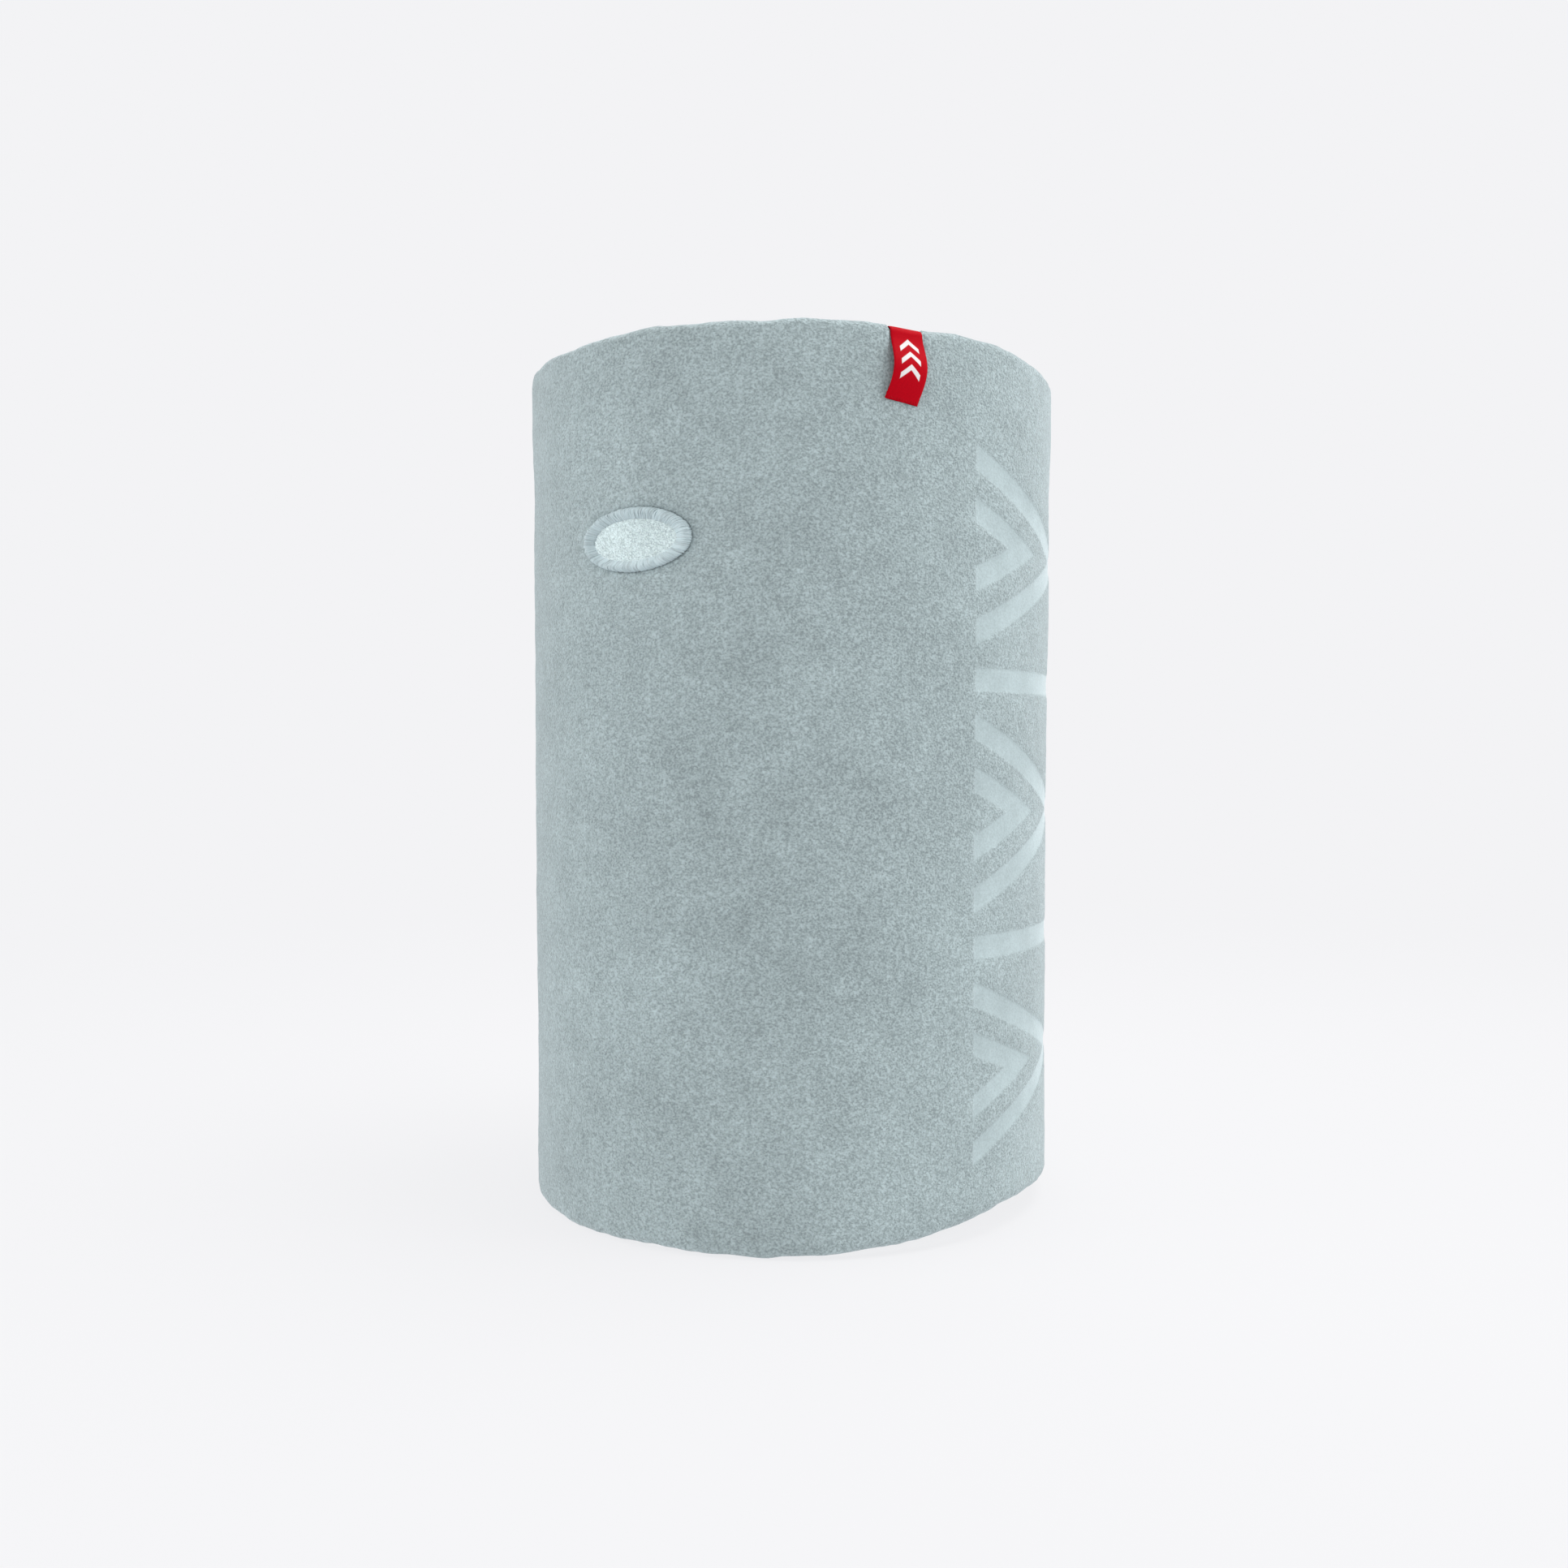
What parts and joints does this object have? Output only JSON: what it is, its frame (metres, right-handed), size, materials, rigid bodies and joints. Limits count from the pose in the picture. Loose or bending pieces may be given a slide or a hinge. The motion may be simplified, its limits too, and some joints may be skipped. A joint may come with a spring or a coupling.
{
  "type": "neck tube",
  "caption": "Soft fleece neck tube with hemmed rims, an embroidered breathing hole, a woven label folded over the top rim and a care label inside.",
  "frame": {"origin": "on the tube's axis, at the level that the bottom rim stands on", "axes": "+Z along the tube's axis towards the rim with the woven label, -Y out through the breathing hole, back seam at +Y"},
  "size_m": [0.1616, 0.1619, 0.2508],
  "materials": {
    "fleece": "brushed polyester fleece, pale grey-blue, matt",
    "thread": "polyester sewing and embroidery thread, soft sheen",
    "backing": "non-woven embroidery stabiliser, white, matt",
    "label": "red woven satin ribbon",
    "care": "white satin tape, unprinted"
  },
  "bodies": {
    "tube": {"fleece_panel": "fleece", "seam_thread_outer": "thread", "seam_thread_inner": "thread", "top_hem_thread": "thread", "bottom_hem_thread": "thread", "breathing_hole_rim": "thread", "hole_backing": "backing", "woven_label": "label", "label_thread": "label"},
    "care_label": {"care_label": "care"}
  },
  "joints": [
    {"name": "care_label_flip", "type": "hinge", "parent": "tube", "child": "care_label", "pos_m": [0.00279, 0.07643, 0.0925], "axis": [0, 0, -1], "range_deg": [0, 130]}
  ]
}
